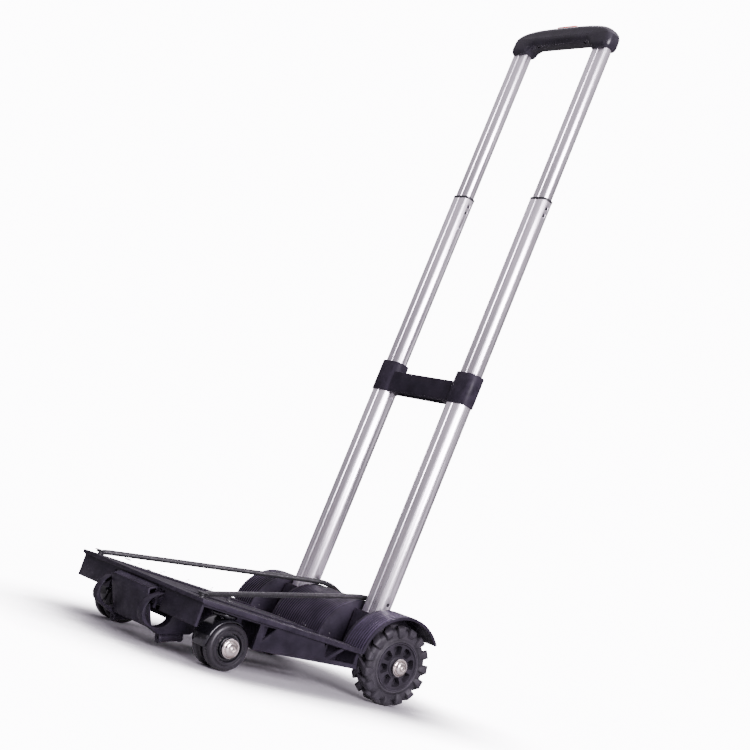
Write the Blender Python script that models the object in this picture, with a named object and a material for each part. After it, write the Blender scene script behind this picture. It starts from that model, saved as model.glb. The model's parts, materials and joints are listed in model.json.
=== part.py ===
"""Folding luggage hand truck with a telescoping handle, a hinged deck and elastic cords."""

import bmesh
import bpy
import numpy as np
from math import atan2, asin, cos, hypot, pi, radians, sin
from mathutils import Matrix, Vector

# Clearance between separate pieces
GAP = 0.0003

# Rear wheels, axle on the origin of the cart frame
WHEEL_R = 0.0512
WHEEL_IN = 0.1175
WHEEL_OUT = 0.1515
RIM_R = 0.0305
LUGS = 15
LUG_DEPTH = 0.0052
AXLE_R = 0.005

# Telescoping tubes
TUBE_X = 0.082
TUBE_Y = -0.011
LOWER = (0.0378, 0.0222, 0.0080)
MIDDLE = (0.0336, 0.0180, 0.0062)
UPPER = (0.0298, 0.0142, 0.0045)
WALL = 0.0011
GROOVE_HALF = 0.0016
GROOVE_DEPTH = 0.0007
LOWER_Z = (0.014, 0.3865)
MIDDLE_Z = (0.328, 0.649)
UPPER_Z = (0.588, 0.901)
RING_H = 0.0034
LOCK_Z_UPPER = 0.604
LOCK_Z_MIDDLE = 0.340
LOCK_R = 0.0024

# Bridge between the lower tubes
BRIDGE_Z = (0.347, 0.3905)
BRIDGE_BAR_TOP = 0.3765

# Grip
GRIP_Z = 0.8815
GRIP_CREST = 0.9222
GRIP_HALF = 0.1006
GRIP_Y = 0.0256
SPLIT_Z = 0.9045
BUTTON_HALF = 0.0205
BUTTON_Y = 0.0098
BUTTON_TOP = 0.9236

# Deck, in a frame turned about the axle
DECK_TILT = 0.0649
DECK_HALF = 0.1530
DECK_FRONT = 0.3106
DECK_TOP = 0.0070
SLOT_IN = 0.0555
SLOT_OUT = 0.1085
SLOT_FRONT = 0.2810
FENDER_R = 0.0640
FENDER_T = 0.0026
WEB_END = 0.2205
WELL_R = 0.0432
HOOD = (0.3006, -0.0296)
HOOD_R = 0.0306
HOOD_HALF = 0.0470
HOOD_T = 0.0026
PLATE_X = (0.0515, 0.0645)
PLATE_HOLE = (0.3050, -0.0270, 0.0195)
BARREL_X = 0.0580
BARREL_FRONT = (0.2925, -0.0578)
BARREL_BACK = (0.2610, -0.0487)
BAR_L = (0.2600, 0.2760)
BAR_H = (-0.0345, -0.0245)

# Casters
STEM_X = 0.1265
STEM_L = 0.2590
HUB_L = 0.2500
HUB_H = -0.0385
CASTER_R = 0.0285
CASTER_W = 0.0165
CASTER_SPREAD = 0.0122

# Cords
CORD_R = 0.0034
CORD_FRONT = (0.1300, 0.3000)
CORD_BACK = (0.0500, 0.0020)


def clear_scene():
    for obj in list(bpy.data.objects):
        bpy.data.objects.remove(obj, do_unlink=True)


def material(name, colour, roughness, metallic=0.0):
    mat = bpy.data.materials.new(name)
    mat.use_nodes = True
    shader = mat.node_tree.nodes["Principled BSDF"]
    shader.inputs["Base Color"].default_value = (*colour, 1.0)
    shader.inputs["Roughness"].default_value = roughness
    shader.inputs["Metallic"].default_value = metallic
    return mat


BLACK = (0.02, 0.02, 0.022)
SHADES = {
    "abs": (BLACK, 0.45, 0.0),
    "gloss": ((0.012, 0.012, 0.013), 0.15, 0.0),
    "alloy": ((0.78, 0.76, 0.78), 0.3, 1.0),
    "steel": ((0.62, 0.62, 0.63), 0.35, 1.0),
    "chrome": ((0.85, 0.85, 0.86), 0.08, 1.0),
    "rubber": ((0.05, 0.05, 0.055), 0.8, 0.0),
    "red": ((0.7, 0.05, 0.03), 0.35, 0.0),
    "cord": ((0.015, 0.015, 0.016), 0.7, 0.0),
}


def publish(name, bm, shade, parent):
    """Turns a bmesh into a named object with its own material, under its parent empty."""
    bmesh.ops.remove_doubles(bm, verts=bm.verts, dist=1e-7)
    bmesh.ops.recalc_face_normals(bm, faces=bm.faces)
    mesh = bpy.data.meshes.new(name)
    bm.to_mesh(mesh)
    bm.free()
    obj = bpy.data.objects.new(name, mesh)
    bpy.context.scene.collection.objects.link(obj)
    mesh.materials.append(material(name, *SHADES[shade]))
    obj.parent = parent
    return obj


def empty(name, parent, location=(0, 0, 0), rotation=(0, 0, 0)):
    obj = bpy.data.objects.new(name, None)
    bpy.context.scene.collection.objects.link(obj)
    obj.parent = parent
    obj.location = location
    obj.rotation_euler = rotation
    return obj


def cutter(name, bm, parent):
    obj = publish(name, bm, "abs", parent)
    obj.hide_render = True
    obj.display_type = "WIRE"
    return obj


def cut(obj, tool, operation="DIFFERENCE"):
    mod = obj.modifiers.new(tool.name, "BOOLEAN")
    mod.operation = operation
    mod.solver = "EXACT"
    mod.object = tool


def bevel(obj, width, segments=2, angle=35):
    mod = obj.modifiers.new("soft_edges", "BEVEL")
    mod.width = width
    mod.segments = segments
    mod.limit_method = "ANGLE"
    mod.angle_limit = radians(angle)
    mod.use_clamp_overlap = True


def add_loops(bm, loops, closed=False):
    """Skins a row of equal point loops. Open rows are capped."""
    rows = [[bm.verts.new(p) for p in loop] for loop in loops]
    count = len(rows[0])
    pairs = list(zip(rows, rows[1:]))
    if closed:
        pairs.append((rows[-1], rows[0]))
    for a, b in pairs:
        for i in range(count):
            j = (i + 1) % count
            bm.faces.new((a[i], a[j], b[j], b[i]))
    if not closed:
        bm.faces.new(rows[0][::-1])
        bm.faces.new(rows[-1])


def add_box(bm, lo, hi):
    corners = [(lo[0], lo[1]), (hi[0], lo[1]), (hi[0], hi[1]), (lo[0], hi[1])]
    add_loops(bm, [[(x, y, z) for x, y in corners] for z in (lo[2], hi[2])])


def add_prism(bm, outline, lo, hi, axis):
    """Extrudes a flat outline from lo to hi along axis x, y or z."""
    place = {
        "x": lambda a, b, t: (t, a, b),
        "y": lambda a, b, t: (a, t, b),
        "z": lambda a, b, t: (a, b, t),
    }[axis]
    add_loops(bm, [[place(a, b, t) for a, b in outline] for t in (lo, hi)])


def ring_points(centre, radius, count, start=0.0):
    steps = [start + 2 * pi * i / count for i in range(count)]
    return [(centre[0] + radius * cos(t), centre[1] + radius * sin(t)) for t in steps]


def add_rod(bm, centre, radius, lo, hi, axis, count=24):
    add_prism(bm, ring_points(centre, radius, count), lo, hi, axis)


def add_tube(bm, centre, outer, inner, lo, hi, count=40):
    """A hollow cylinder along x, with centre (y, z)."""
    rows = []
    for radius, x in ((outer, lo), (outer, hi), (inner, hi), (inner, lo)):
        rows.append([(x, a, b) for a, b in ring_points(centre, radius, count)])
    add_loops(bm, rows, closed=True)


def add_lathe(bm, profile, centre=(0, 0), count=48):
    """Turns a closed profile of (x, radius) about the x direction."""
    rows = []
    for x, radius in profile:
        rows.append([(x, a, b) for a, b in ring_points(centre, radius, count)])
    add_loops(bm, rows, closed=True)


def add_solid_lathe(bm, profile, centre=(0, 0), count=32):
    """Turns an open profile of (x, radius) about the x direction and caps both ends."""
    rows = []
    for x, radius in profile:
        rows.append([(x, a, b) for a, b in ring_points(centre, radius, count)])
    add_loops(bm, rows)


def add_swept(bm, centre, section, start, end, steps):
    """Sweeps a section of (x, radius) round an axis along x, between two angles."""
    rows = []
    for i in range(steps + 1):
        t = start + (end - start) * i / steps
        rows.append([(x, centre[0] + r * cos(t), centre[1] + r * sin(t)) for x, r in section])
    add_loops(bm, rows)


def rimmed(lo, hi, outer, inner, rim, lip):
    """Section of a thin cover whose two edges are thickened inwards and stand slightly proud."""
    return [
        (lo, outer + lip),
        (lo + rim, outer + lip),
        (lo + rim, outer),
        (hi - rim, outer),
        (hi - rim, outer + lip),
        (hi, outer + lip),
        (hi, inner - lip),
        (hi - rim, inner - lip),
        (hi - rim, inner),
        (lo + rim, inner),
        (lo + rim, inner - lip),
        (lo, inner - lip),
    ]


def tube_outline(size, inset=0.0, groove=True, arc=3):
    """Rounded outline with a shallow running groove on the front and back faces."""
    wide, deep, corner = size
    half_x = wide / 2 - inset
    half_y = deep / 2 - inset
    radius = max(corner - inset, 0.0006)
    points = []
    for k, (sx, sy) in enumerate(((1, 1), (-1, 1), (-1, -1), (1, -1))):
        cx = sx * (half_x - radius)
        cy = sy * (half_y - radius)
        for i in range(arc + 1):
            t = (k + i / arc) * pi / 2
            points.append((cx + radius * cos(t), cy + radius * sin(t)))
        if groove and k in (0, 2):
            wing = GROOVE_HALF + inset * 0.6
            dip = half_y - GROOVE_DEPTH
            points.append((wing * sy, half_y * sy))
            points.append(((wing - 0.0006) * sy, dip * sy))
            points.append(((0.0006 - wing) * sy, dip * sy))
            points.append((-wing * sy, half_y * sy))
    return points


def add_profile(bm, size, side, z, inset=0.0, wall=WALL):
    """One hollow drawn tube, standing at its place on the given side."""
    rows = []
    for extra, level in ((0, z[0]), (0, z[1]), (wall, z[1]), (wall, z[0])):
        outline = tube_outline(size, inset + extra)
        rows.append([(side * TUBE_X + x, TUBE_Y + y, level) for x, y in outline])
    add_loops(bm, rows, closed=True)


def add_outline_block(bm, size, inset, side, z):
    outline = tube_outline(size, inset, groove=False)
    add_prism(bm, [(side * TUBE_X + x, TUBE_Y + y) for x, y in outline], z[0], z[1], "z")


def holed_tube(name, size, side, z, holes, parent):
    """A drawn tube with round holes through the side that faces the middle of the cart."""
    bm = bmesh.new()
    add_profile(bm, size, side, z)
    obj = publish(name, bm, "alloy", parent)
    tool = bmesh.new()
    wall_x = side * (TUBE_X - size[0] / 2)
    for level, radius, where in holes:
        x = wall_x if where == "in" else side * (TUBE_X + size[0] / 2)
        add_rod(tool, (TUBE_Y, level), radius, x - 0.0035, x + 0.0035, "x", 20)
    cut(obj, cutter(name + "_holes", tool, parent))
    return obj


def lower_tubes(parent):
    holes = ((LOCK_Z_MIDDLE, LOCK_R + GAP, "in"), (0.068, 0.0026, "out"))
    for side, tag in ((-1, "left"), (1, "right")):
        holed_tube("tube_lower_" + tag, LOWER, side, LOWER_Z, holes, parent)


def middle_tubes(parent):
    holes = ((LOCK_Z_UPPER, LOCK_R + GAP, "in"), (0.385, LOCK_R + GAP, "in"))
    for side, tag in ((-1, "left"), (1, "right")):
        obj = holed_tube("tube_middle_" + tag, MIDDLE, side, MIDDLE_Z, holes, parent)
        tool = bmesh.new()
        for level in (0.6385, 0.6285):
            x = side * TUBE_X + MIDDLE[0] / 2
            lo = (x - 0.003, TUBE_Y - 0.0022, level - 0.0024)
            hi = (x + 0.003, TUBE_Y + 0.0022, level + 0.0024)
            add_box(tool, lo, hi)
        x = side * (TUBE_X - MIDDLE[0] / 2)
        add_rod(tool, (TUBE_Y, LOCK_Z_MIDDLE), LOCK_R + GAP, x - 0.0035, x + 0.0035, "x", 20)
        cut(obj, cutter("windows_" + tag, tool, parent))


def upper_tubes(parent):
    for side, tag in ((-1, "left"), (1, "right")):
        holes = ((LOCK_Z_UPPER, LOCK_R + GAP, "in"),)
        holed_tube("tube_upper_" + tag, UPPER, side, UPPER_Z, holes, parent)


def top_rings(parent):
    """Soft rings that close the top of the middle tubes round the upper ones."""
    for side, tag in ((-1, "left"), (1, "right")):
        rows = []
        levels = (MIDDLE_Z[1] + 0.00005 + GAP, MIDDLE_Z[1] + RING_H)
        for size, inset, z in (
            (MIDDLE, -0.0004, levels[0]),
            (MIDDLE, -0.0004, levels[1] - 0.0006),
            (MIDDLE, 0.0004, levels[1]),
            (UPPER, -0.0005, levels[1]),
            (UPPER, -0.0005, levels[0]),
        ):
            outline = tube_outline(size, inset, groove=False)
            rows.append([(side * TUBE_X + x, TUBE_Y + y, z) for x, y in outline])
        bm = bmesh.new()
        add_loops(bm, rows, closed=True)
        publish("seal_ring_" + tag, bm, "rubber", parent)


def lock_plug(name, size, side, z, level, parent):
    """Plastic plug in the foot of a tube, bored for its lock bolt."""
    bm = bmesh.new()
    add_outline_block(bm, size, WALL + GROOVE_DEPTH + GAP, side, z)
    obj = publish(name, bm, "abs", parent)
    tool = bmesh.new()
    lo, hi = sorted((side * (TUBE_X - 0.0020), side * (TUBE_X - size[0] / 2)))
    add_rod(tool, (TUBE_Y, level), LOCK_R + GAP, lo, hi, "x", 20)
    cut(obj, cutter(name + "_bore", tool, parent))


def lock_bolt(name, size, side, level, parent):
    """A domed bolt that points to the middle of the cart and stops short of the outer tube's wall."""
    bm = bmesh.new()
    base = TUBE_X - 0.0050
    nose = TUBE_X - size[0] / 2 + WALL + GAP
    profile = (
        (base, LOCK_R),
        (nose + 0.0012, LOCK_R),
        (nose + 0.0004, LOCK_R * 0.8),
        (nose, LOCK_R * 0.35),
    )
    points = [(side * x, r) for x, r in profile]
    add_solid_lathe(bm, points, (TUBE_Y, level), 20)
    publish(name, bm, "steel", parent)


def bridge(parent):
    """Two sleeves on the tops of the lower tubes, joined by a bar."""
    bm = bmesh.new()
    for side in (-1, 1):
        outline = tube_outline(LOWER, -0.0016, groove=False)
        add_prism(bm, [(side * TUBE_X + x, TUBE_Y + y) for x, y in outline], *BRIDGE_Z, "z")
    obj = publish("tube_bridge", bm, "abs", parent)
    bar = bmesh.new()
    reach = TUBE_X - LOWER[0] / 2 + 0.006
    front = TUBE_Y - 0.0100
    back = TUBE_Y + 0.0080
    shape = [
        (front, BRIDGE_Z[0] + 0.0030),
        (front + 0.0022, BRIDGE_Z[0]),
        (back, BRIDGE_Z[0]),
        (back, BRIDGE_BAR_TOP),
        (front, BRIDGE_BAR_TOP),
    ]
    add_prism(bar, shape, -reach, reach, "x")
    cut(obj, cutter("bridge_bar", bar, parent), "UNION")
    tool = bmesh.new()
    for side in (-1, 1):
        add_outline_block(tool, LOWER, -GAP, side, (BRIDGE_Z[0] - 0.01, LOWER_Z[1] + GAP))
    cut(obj, cutter("bridge_sockets", tool, parent))
    tool = bmesh.new()
    for side in (-1, 1):
        add_outline_block(tool, MIDDLE, -0.0005, side, (BRIDGE_Z[0], BRIDGE_Z[1] + 0.01))
    lo = (-0.052, front + 0.0030, BRIDGE_Z[0] - 0.004)
    hi = (0.052, back - 0.0025, BRIDGE_BAR_TOP - 0.003)
    add_box(tool, lo, hi)
    cut(obj, cutter("bridge_bores", tool, parent))


def feet(parent):
    """Moulded feet that hold the lower tubes, bored for the rear axle."""
    for side, tag in ((-1, "left"), (1, "right")):
        lo, hi = sorted((side * (SLOT_IN + 0.0012), side * (SLOT_OUT - 0.0012)))
        half_x = LOWER[0] / 2 + 0.0022
        bm = bmesh.new()
        outline = [(-0.0275, 0.050), (-0.0275, 0.006), (-0.0200, -0.0130), (-0.006, -0.0185)]
        outline += [(0.008, -0.0185), (0.0165, -0.0100), (0.0165, 0.0200), (0.006, 0.050)]
        add_prism(bm, outline, side * TUBE_X - half_x, side * TUBE_X + half_x, "x")
        obj = publish("tube_foot_" + tag, bm, "abs", parent)
        bar = bmesh.new()
        add_rod(bar, (0, 0), 0.0125, lo, hi, "x", 36)
        cut(obj, cutter("foot_barrel_" + tag, bar, parent), "UNION")
        tool = bmesh.new()
        add_outline_block(tool, LOWER, -GAP, side, (LOWER_Z[0] - GAP, 0.07))
        add_rod(tool, (0, 0), AXLE_R + GAP, lo - 0.01, hi + 0.01, "x", 28)
        cut(obj, cutter("foot_sockets_" + tag, tool, parent))


def rear_axle(parent):
    bm = bmesh.new()
    end = WHEEL_OUT + 0.0028
    profile = [
        (-end, AXLE_R - 0.0006),
        (-end + 0.0006, AXLE_R),
        (end - 0.0006, AXLE_R),
        (end, AXLE_R - 0.0006),
    ]
    add_solid_lathe(bm, profile)
    publish("rear_axle", bm, "steel", parent)


def wheel_spacers(parent):
    for side, tag in ((-1, "left"), (1, "right")):
        lo, hi = sorted((side * (SLOT_OUT - 0.0008), side * (WHEEL_IN + 0.0030)))
        bm = bmesh.new()
        add_tube(bm, (0, 0), 0.0085, AXLE_R + GAP, lo, hi, 28)
        publish("axle_spacer_" + tag, bm, "steel", parent)


def add_cap_nut(bm, x, side, radius, height, centre):
    """A domed push-on cap with a flat flange."""
    profile = [(0.0, radius), (0.0014, radius), (height * 0.55, radius * 0.80), (height, radius * 0.25)]
    add_solid_lathe(bm, [(x + side * a, r) for a, r in profile], centre, 24)


def rear_rim(side, tag, parent):
    """Rim with a hub, a dished web and eight openings."""
    inner = WHEEL_IN + 0.003
    outer = WHEEL_OUT
    bm = bmesh.new()
    profile = [
        (inner + GAP, AXLE_R + GAP),
        (outer - 0.0006, AXLE_R + GAP),
        (outer - 0.0006, 0.0130),
        (outer - 0.0044, 0.0142),
        (outer - 0.0044, 0.0265),
        (outer - 0.0006, 0.0278),
        (outer - 0.0006, RIM_R),
        (inner, RIM_R),
        (inner, 0.0272),
        (outer - 0.0140, 0.0268),
        (outer - 0.0140, 0.0125),
        (inner + GAP, 0.0105),
    ]
    add_lathe(bm, [(side * x, r) for x, r in profile], count=28)
    obj = publish("rear_rim_" + tag, bm, "abs", parent)
    tool = bmesh.new()
    for k in range(8):
        mid = 2 * pi * (k + 0.5) / 8
        points = []
        for radius, half in ((0.0152, 0.21), (0.0200, 0.27), (0.0252, 0.23)):
            points.append((radius, half))
        loop = [(r * cos(mid + h), r * sin(mid + h)) for r, h in points]
        loop += [(r * cos(mid - h), r * sin(mid - h)) for r, h in points[::-1]]
        lo, hi = sorted((side * (outer - 0.0118), side * (outer + 0.004)))
        add_prism(tool, loop, lo, hi, "x")
    cut(obj, cutter("rim_windows_" + tag, tool, parent))
    return obj


def rear_tyre(side, tag, parent):
    """Tractor tread: two staggered rows of lugs that run down on to the shoulders."""
    width = WHEEL_OUT - WHEEL_IN
    base = WHEEL_R - LUG_DEPTH
    section = [
        (0.0, RIM_R + GAP, 0.0),
        (0.0, 0.0400, 0.3),
        (0.0030, base, 0.9),
        (0.0155, base, 1.0),
        (0.0162, base, 0.0),
    ]
    whole = [(a, r, k, 0) for a, r, k in section]
    whole += [(width - a, r, k, 1) for a, r, k in section[::-1]]
    rows = []
    for i in range(LUGS):
        for part, raised in ((0.0, 1), (0.05, 0), (0.50, 0), (0.55, 1)):
            angle = 2 * pi * (i + part) / LUGS
            row = []
            for a, r, share, which in whole:
                out = r + (LUG_DEPTH * share if which == raised else 0.0)
                row.append((side * (WHEEL_IN + a), out * cos(angle), out * sin(angle)))
            rows.append(row)
    bm = bmesh.new()
    add_loops(bm, rows, closed=True)
    return publish("rear_tyre_" + tag, bm, "rubber", parent)


def rear_wheels(root):
    for side, tag in ((-1, "left"), (1, "right")):
        hub = empty("rear_wheel_" + tag, root)
        rear_rim(side, tag, hub)
        rear_tyre(side, tag, hub)
        bm = bmesh.new()
        add_cap_nut(bm, side * (WHEEL_OUT + 0.0031), side, 0.0113, 0.0068, (0, 0))
        publish("rear_cap_nut_" + tag, bm, "chrome", root)


def deck_outline():
    """Plan of the deck in (x, forward): three fingers joined by a bar at the front."""
    back = -0.0300
    points = [(-DECK_HALF, back), (-SLOT_OUT, back), (-SLOT_OUT, SLOT_FRONT), (-SLOT_IN, SLOT_FRONT)]
    points += [(-SLOT_IN, back), (SLOT_IN, back), (SLOT_IN, SLOT_FRONT), (SLOT_OUT, SLOT_FRONT)]
    points += [(SLOT_OUT, back), (DECK_HALF, back), (DECK_HALF, DECK_FRONT), (-DECK_HALF, DECK_FRONT)]
    return [(x, -l) for x, l in points]


def under_line(l):
    """Height of the lower edge of the webs at a distance forward of the axle."""
    return DECK_TOP - 0.022 - 0.018 * (l - 0.06) / 0.166


def deck_tray(deck):
    """The moulded deck: top plate, webs, front wall, caster bosses and cross ribs."""
    bm = bmesh.new()
    add_prism(bm, deck_outline(), -0.0400, DECK_TOP, "z")
    obj = publish("deck_tray", bm, "abs", deck)
    plate = DECK_TOP - 0.0040
    tool = bmesh.new()
    add_prism(tool, ring_points((0, 0), FENDER_R + 0.0006, 64), -0.2, 0.2, "x")
    cut(obj, cutter("arch_clearance", tool, deck))
    tool = bmesh.new()
    slope = [(-0.40, -0.2), (0.05, -0.2), (0.05, under_line(0.0)), (-WEB_END, under_line(WEB_END))]
    slope += [(-WEB_END, -0.0015), (-0.3044, -0.0015)]
    slope += [(-0.3044, DECK_TOP - 0.0330), (-0.40, DECK_TOP - 0.0330)]
    add_prism(tool, slope, -0.2, 0.2, "x")
    cut(obj, cutter("under_cut", tool, deck))
    tool = bmesh.new()
    for side in (-1, 1):
        add_rod(tool, (side * STEM_X, -STEM_L), WELL_R, -0.06, -0.0015, "z", 56)
    cut(obj, cutter("caster_wells", tool, deck))
    tool = bmesh.new()
    for side in (-1, 1):
        bays = ((0.0680, 0.112), (0.115, 0.168), (0.171, 0.2060))
        for start, end in bays:
            lo, hi = sorted((side * (SLOT_OUT + 0.0030), side * (DECK_HALF - 0.0062)))
            add_box(tool, (lo, -end, -0.06), (hi, -start, plate))
    for start, end in ((0.0680, 0.112), (0.115, 0.168), (0.171, 0.2130)):
        add_box(tool, (-SLOT_IN + 0.003, -end, -0.06), (-0.0015, -start, plate))
        add_box(tool, (0.0015, -end, -0.06), (SLOT_IN - 0.003, -start, plate))
    cut(obj, cutter("bays", tool, deck))
    tool = bmesh.new()
    for side in (-1, 1):
        lo, hi = sorted((side * (DECK_HALF - 0.0030), side * (DECK_HALF + 0.01)))
        add_box(tool, (lo, -0.33, -0.06), (hi, 0.05, DECK_TOP - 0.0058))
    cut(obj, cutter("flange_cut", tool, deck))
    tool = bmesh.new()
    add_box(tool, (-0.2, -0.33, -0.06), (0.2, -DECK_FRONT + 0.0028, DECK_TOP - 0.0045))
    cut(obj, cutter("front_flange_cut", tool, deck))
    tool = bmesh.new()
    ring = ring_points((-HOOD[0], HOOD[1]), HOOD_R + GAP, 48)
    add_prism(tool, ring, -HOOD_HALF - GAP, HOOD_HALF + GAP, "x")
    cut(obj, cutter("hood_clearance", tool, deck))
    tool = bmesh.new()
    for side in (-1, 1):
        lo, hi = sorted((side * (PLATE_X[0] - GAP), side * (PLATE_X[1] + GAP)))
        add_box(tool, (lo, -0.34, -0.06), (hi, -0.29, -0.0015))
    cut(obj, cutter("plate_clearance", tool, deck))
    tool = bmesh.new()
    for side in (-1, 1):
        lo, hi = sorted((side * (DECK_HALF - 0.0080), side * DECK_HALF))
        wedge = [(-0.2150, -0.0020), (-0.1960, -0.0008), (-0.2110, -0.0190)]
        add_prism(tool, wedge, lo, hi, "x")
        panel = [(-0.1215, 0.0006), (-0.0935, 0.0006), (-0.1135, -0.0160)]
        add_prism(tool, panel, lo, hi, "x")
        panel = [(-0.0885, 0.0006), (-0.0690, 0.0006), (-0.0690, -0.0130), (-0.1075, -0.0165)]
        add_prism(tool, panel, lo, hi, "x")
        add_rod(tool, (side * STEM_X, -STEM_L), 0.0042, -0.05, DECK_TOP - 0.0020, "z", 24)
        add_rod(tool, (side * CORD_FRONT[0], -CORD_FRONT[1]), CORD_R + 0.0016, -0.05, 0.05, "z", 20)
    cut(obj, cutter("side_reliefs", tool, deck))
    tool = bmesh.new()
    for k in range(5):
        x = -0.040 + 0.020 * k
        add_box(tool, (x - 0.0032, -0.262, DECK_TOP - 0.0012), (x + 0.0032, -0.078, DECK_TOP + 0.01))
    for side in (-1, 1):
        for x in (0.1195, 0.1310, 0.1425):
            lo, hi = sorted((side * (x - 0.0022), side * (x + 0.0022)))
            add_box(tool, (lo, -0.236, DECK_TOP - 0.0012), (hi, -0.078, DECK_TOP + 0.01))
    cut(obj, cutter("top_grooves", tool, deck))
    return obj


def arches(deck):
    """Covers over both wheels and between the tubes, with raised rims and inner cheeks."""
    start = pi - 0.045
    end = radians(40)
    outer = FENDER_R - 0.0006
    inner = outer - FENDER_T
    for side, tag in ((-1, "left"), (1, "right")):
        lo = SLOT_OUT + GAP
        section = rimmed(lo, DECK_HALF, outer, inner, 0.0022, 0.0006)
        section[-2:] = [(lo + 0.0022, 0.0170), (lo, 0.0170)]
        bm = bmesh.new()
        add_swept(bm, (0, 0), [(side * x, r) for x, r in section], start, end, 22)
        publish("fender_" + tag, bm, "abs", deck)
    section = rimmed(-SLOT_IN, SLOT_IN, outer, inner, 0.0022, 0.0006)
    section[6:8] = [(SLOT_IN, 0.0170), (SLOT_IN - 0.0022, 0.0170)]
    section[-2:] = [(0.0022 - SLOT_IN, 0.0170), (-SLOT_IN, 0.0170)]
    bm = bmesh.new()
    add_swept(bm, (0, 0), section, start, end, 22)
    publish("arch_centre", bm, "abs", deck)


def hinge_ears(deck, tray):
    """Ears under the centre finger that carry the deck on the rear axle."""
    bm = bmesh.new()
    outline = [(-0.0690, 0.0020), (-0.0690, -0.0120), (-0.0100, -0.0120)]
    outline += [(0.012 * cos(t), 0.012 * sin(t)) for t in np.linspace(-pi / 2, pi / 2, 14)]
    outline += [(-0.0100, 0.0120), (-0.0350, 0.0020)]
    for lo in (-0.0500, 0.0440):
        add_prism(bm, outline, lo, lo + 0.0060, "x")
    cut(tray, cutter("ears", bm, deck), "UNION")
    tool = bmesh.new()
    add_rod(tool, (0, 0), AXLE_R + GAP, -0.07, 0.07, "x", 28)
    cut(tray, cutter("ear_bores", tool, deck))


def hood_section():
    """Outer line (forward, height) of the front hood: a rounded top, then a panel leaning back."""
    line = []
    for t in np.linspace(radians(108), radians(52), 9):
        line.append((HOOD[0] + HOOD_R * cos(t), HOOD[1] + HOOD_R * sin(t)))
    line += [(0.3196, -0.0085), (0.3182, -0.0130), (0.2995, -0.0510)]
    return line


def front_hood(deck):
    """Ribbed hood under the front edge, with a hand bar behind it."""
    outer = hood_section()
    inner = []
    for k, (l, h) in enumerate(outer):
        before = Vector(outer[max(k - 1, 0)])
        after = Vector(outer[min(k + 1, len(outer) - 1)])
        run = (after - before).normalized()
        inner.append((l + run.y * HOOD_T, h - run.x * HOOD_T))
    bm = bmesh.new()
    add_prism(bm, [(-l, h) for l, h in outer + inner[::-1]], -HOOD_HALF, HOOD_HALF, "x")
    publish("front_hood", bm, "abs", deck)
    bm = bmesh.new()
    shape = [(-BAR_L[1], BAR_H[0]), (-BAR_L[0], BAR_H[0]), (-BAR_L[0], BAR_H[1]), (-BAR_L[1], BAR_H[1])]
    add_prism(bm, shape, GAP - PLATE_X[0], PLATE_X[0] - GAP, "x")
    bar = publish("carry_bar", bm, "abs", deck)
    bevel(bar, 0.0022, 2, 40)


def plate_outline():
    """Side line (forward, height) of a front plate: a hooked nose, a foot and a straight back."""
    nose = [(0.3100, -0.0060), (0.3185, -0.0115), (0.3245, -0.0195), (0.3275, -0.0280)]
    nose += [(0.3280, -0.0345), (0.3250, -0.0415), (0.3185, -0.0462), (0.3090, -0.0492)]
    foot = [(0.2975, -0.0535), (0.2540, -0.0430), (0.2490, -0.0380), (0.2490, -0.0018), (0.3000, -0.0018)]
    return nose + foot


def front_plates(deck):
    """Hooked plates that close the ends of the hood, each with a bored barrel along its foot."""
    run = Vector((BARREL_BACK[0] - BARREL_FRONT[0], BARREL_BACK[1] - BARREL_FRONT[1]))
    length = run.length
    lean = atan2(run.y, -run.x)
    for side, tag in ((-1, "left"), (1, "right")):
        lo, hi = sorted((side * PLATE_X[0], side * PLATE_X[1]))
        bm = bmesh.new()
        add_prism(bm, [(-l, h) for l, h in plate_outline()], lo, hi, "x")
        obj = publish("front_plate_" + tag, bm, "abs", deck)
        tool = bmesh.new()
        centre = (-PLATE_HOLE[0], PLATE_HOLE[1])
        add_rod(tool, centre, PLATE_HOLE[2], lo - 0.01, hi + 0.01, "x", 36)
        cut(obj, cutter("plate_hole_" + tag, tool, deck))
        barrel = bmesh.new()
        rows = []
        for step, radius in ((0, 0.0062), (0.0040, 0.0062), (0.0052, 0.0052)):
            rows.append((step, radius))
        rows += [(length - step, radius) for step, radius in rows[::-1]]
        loops = []
        for step, radius in rows:
            ring = ring_points((0, 0), radius, 24)
            loops.append([(a, step, b) for a, b in ring])
        add_loops(barrel, loops)
        turn = Matrix.Rotation(lean, 4, "X")
        start = Vector((side * BARREL_X, -BARREL_FRONT[0], BARREL_FRONT[1]))
        bmesh.ops.transform(barrel, matrix=Matrix.Translation(start) @ turn, verts=barrel.verts)
        cut(obj, cutter("plate_barrel_" + tag, barrel, deck), "UNION")
        bore = bmesh.new()
        add_rod(bore, (0, 0), 0.0021, -0.004, 0.016, "y", 16)
        bmesh.ops.transform(bore, matrix=Matrix.Translation(start) @ turn, verts=bore.verts)
        cut(obj, cutter("barrel_bore_" + tag, bore, deck))


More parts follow.
